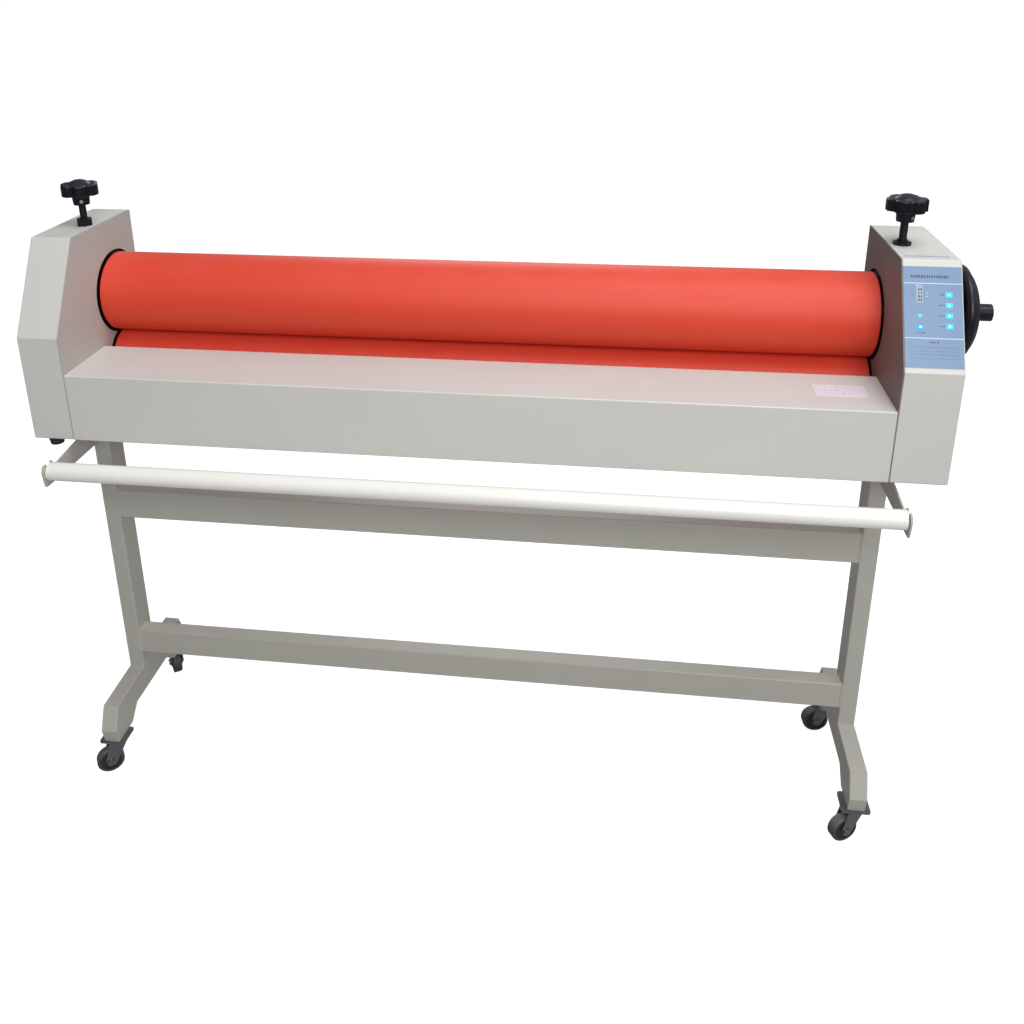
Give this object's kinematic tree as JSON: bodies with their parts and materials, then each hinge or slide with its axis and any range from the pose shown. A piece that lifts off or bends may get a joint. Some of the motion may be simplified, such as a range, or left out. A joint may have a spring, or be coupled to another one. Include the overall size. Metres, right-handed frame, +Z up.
{
  "type": "cold roll laminator",
  "caption": "Floor-standing cold roll laminator: two orange silicone rollers between grey casings, screw pressure knobs, control panel, handwheel and a wheeled stand",
  "frame": {"origin": "On the floor, under the middle of the machine's bounding box", "axes": "+X runs along the rollers towards the casing with the control panel and handwheel, +Y runs from the feed table towards the exit side, +Z is up"},
  "size_m": [1.5666, 0.3762, 1.128],
  "materials": {
    "casing_paint": "satin warm light grey powder coat",
    "stand_paint": "satin grey-beige powder coat",
    "steel": "bright machined or zinc plated steel",
    "black_steel": "black oxide, slightly oiled",
    "roller_rubber": "matte orange-red silicone rubber",
    "black_rubber": "matte black rubber",
    "black_plastic": "black moulded plastic, satin",
    "bearing_bronze": "plain sintered bronze",
    "panel_film": "blue printed film with a satin hard coat",
    "key_lens": "translucent cyan, lit from behind",
    "board_green": "green solder mask",
    "label_white": "white vinyl label",
    "tube_cream": "smooth cream enamel"
  },
  "bodies": {
    "machine": {"arm_pivot_pins": "steel", "casing_screws": "steel", "caster_plates": "steel", "control_board": "board_green", "cradle_arms": "stand_paint", "drive_chain": "steel", "exit_table": "casing_paint", "feed_table": "casing_paint", "frame_bolts": "steel", "gear_motor": "black_steel", "left_casing": "casing_paint", "left_foot": "stand_paint", "left_frame_plate": "black_steel", "left_leg": "stand_paint", "left_side_plate": "casing_paint", "lower_bearings": "bearing_bronze", "lower_crossbar": "stand_paint", "panel_lights": "key_lens", "panel_overlay": "panel_film", "power_inlet": "black_plastic", "right_casing": "casing_paint", "right_foot": "stand_paint", "right_frame_plate": "black_steel", "right_leg": "stand_paint", "right_side_plate": "casing_paint", "rubber_feet": "black_rubber", "screw_nuts": "black_steel", "table_label": "label_white", "tie_bars": "steel", "upper_crossbar": "stand_paint"},
    "pressure arms": {"left_pressure_arm": "steel", "right_pressure_arm": "steel", "top_bearings": "bearing_bronze"},
    "top roller": {"top_roller_core": "steel", "top_roller_rubber": "roller_rubber"},
    "lower roller": {"lower_roller_core": "steel", "lower_roller_rubber": "roller_rubber", "roller_sprocket": "steel"},
    "left trunnion": {"left_trunnion": "steel"},
    "right trunnion": {"right_trunnion": "steel"},
    "left pressure screw": {"left_screw": "black_steel", "left_knob": "black_plastic"},
    "right pressure screw": {"right_screw": "black_steel", "right_knob": "black_plastic"},
    "handwheel": {"handwheel": "black_plastic", "drive_shaft": "steel"},
    "guide tube": {"guide_tube": "tube_cream"},
    "key 1": {"key_1": "key_lens"},
    "key 2": {"key_2": "key_lens"},
    "key 3": {"key_3": "key_lens"},
    "key 4": {"key_4": "key_lens"},
    "key 5": {"key_5": "key_lens"},
    "caster fork front left": {"caster_fork_front_left": "steel"},
    "caster wheel front left": {"caster_wheel_front_left": "black_rubber"},
    "caster fork front right": {"caster_fork_front_right": "steel"},
    "caster wheel front right": {"caster_wheel_front_right": "black_rubber"},
    "caster fork rear left": {"caster_fork_rear_left": "steel"},
    "caster wheel rear left": {"caster_wheel_rear_left": "black_rubber"},
    "caster fork rear right": {"caster_fork_rear_right": "steel"},
    "caster wheel rear right": {"caster_wheel_rear_right": "black_rubber"}
  },
  "joints": [
    {"name": "nip_opening", "type": "hinge", "parent": "machine", "child": "pressure arms", "pos_m": [-0.0377, 0.15736, 0.92025], "axis": [-1, 0, 0], "range_deg": [0, 14.86]},
    {"name": "top_roller_spin", "type": "hinge", "parent": "pressure arms", "child": "top roller", "pos_m": [-0.0377, 0.09985, 0.91275], "axis": [1, 0, 0], "continuous": true},
    {"name": "lower_roller_spin", "type": "hinge", "parent": "machine", "child": "lower roller", "pos_m": [-0.0377, 0.09985, 0.78075], "axis": [1, 0, 0], "continuous": true},
    {"name": "left_trunnion_lift", "type": "slide", "parent": "machine", "child": "left trunnion", "axis": [0, 0, 1], "range_m": [0, 0.02569]},
    {"name": "left_screw_turn", "type": "hinge", "parent": "left trunnion", "child": "left pressure screw", "pos_m": [-0.7297, 0.05985, 1.101], "axis": [0, 0, 1], "range_deg": [0, 3082.41]},
    {"name": "right_trunnion_lift", "type": "slide", "parent": "machine", "child": "right trunnion", "axis": [0, 0, 1], "range_m": [0, 0.02569]},
    {"name": "right_screw_turn", "type": "hinge", "parent": "right trunnion", "child": "right pressure screw", "pos_m": [0.6543, 0.05985, 1.101], "axis": [0, 0, 1], "range_deg": [0, 3082.41]},
    {"name": "handwheel_spin", "type": "hinge", "parent": "machine", "child": "handwheel", "pos_m": [0.7203, 0.00284, 0.955], "axis": [1, 0, 0], "continuous": true},
    {"name": "guide_tube_spin", "type": "hinge", "parent": "machine", "child": "guide tube", "pos_m": [-0.0377, -0.16815, 0.681], "axis": [1, 0, 0], "continuous": true},
    {"name": "key_1_press", "type": "slide", "parent": "machine", "child": "key 1", "axis": [0, 0.865, -0.5017], "range_m": [0, 0.0004], "stiffness_N_per_m": 600, "springref_m": -0.0002},
    {"name": "key_2_press", "type": "slide", "parent": "machine", "child": "key 2", "axis": [0, 0.865, -0.5017], "range_m": [0, 0.0004], "stiffness_N_per_m": 600, "springref_m": -0.0002},
    {"name": "key_3_press", "type": "slide", "parent": "machine", "child": "key 3", "axis": [0, 0.865, -0.5017], "range_m": [0, 0.0004], "stiffness_N_per_m": 600, "springref_m": -0.0002},
    {"name": "key_4_press", "type": "slide", "parent": "machine", "child": "key 4", "axis": [0, 0.865, -0.5017], "range_m": [0, 0.0004], "stiffness_N_per_m": 600, "springref_m": -0.0002},
    {"name": "key_5_press", "type": "slide", "parent": "machine", "child": "key 5", "axis": [0, 0.865, -0.5017], "range_m": [0, 0.0004], "stiffness_N_per_m": 600, "springref_m": -0.0002},
    {"name": "swivel_front_left", "type": "hinge", "parent": "machine", "child": "caster fork front left", "pos_m": [-0.7257, -0.11116, 0.074], "axis": [0, 0, 1], "continuous": true},
    {"name": "roll_front_left", "type": "hinge", "parent": "caster fork front left", "child": "caster wheel front left", "pos_m": [-0.74045, -0.12148, 0.025], "axis": [0.5736, -0.8192, 0], "continuous": true},
    {"name": "swivel_front_right", "type": "hinge", "parent": "machine", "child": "caster fork front right", "pos_m": [0.6503, -0.11116, 0.074], "axis": [0, 0, 1], "continuous": true},
    {"name": "roll_front_right", "type": "hinge", "parent": "caster fork front right", "child": "caster wheel front right", "pos_m": [0.63399, -0.11876, 0.025], "axis": [0.4226, -0.9063, 0], "continuous": true},
    {"name": "swivel_rear_left", "type": "hinge", "parent": "machine", "child": "caster fork rear left", "pos_m": [-0.7257, 0.14885, 0.074], "axis": [0, 0, 1], "continuous": true},
    {"name": "roll_rear_left", "type": "hinge", "parent": "caster fork rear left", "child": "caster wheel rear left", "pos_m": [-0.73602, 0.16359, 0.025], "axis": [-0.8192, -0.5736, 0], "continuous": true},
    {"name": "swivel_rear_right", "type": "hinge", "parent": "machine", "child": "caster fork rear right", "pos_m": [0.6503, 0.14885, 0.074], "axis": [0, 0, 1], "continuous": true},
    {"name": "roll_rear_right", "type": "hinge", "parent": "caster fork rear right", "child": "caster wheel rear right", "pos_m": [0.63237, 0.14728, 0.025], "axis": [0.0872, -0.9962, 0], "continuous": true}
  ],
  "couplings": [
    {"joint": "top_roller_spin", "follows": "lower_roller_spin", "ratio": -0.83916},
    {"joint": "left_trunnion_lift", "follows": "nip_opening", "m_per_rad": 0.098063},
    {"joint": "left_screw_turn", "follows": "nip_opening", "ratio": 205.38},
    {"joint": "right_trunnion_lift", "follows": "nip_opening", "m_per_rad": 0.098063},
    {"joint": "right_screw_turn", "follows": "nip_opening", "ratio": 205.38},
    {"joint": "handwheel_spin", "follows": "lower_roller_spin", "ratio": 1.5}
  ]
}
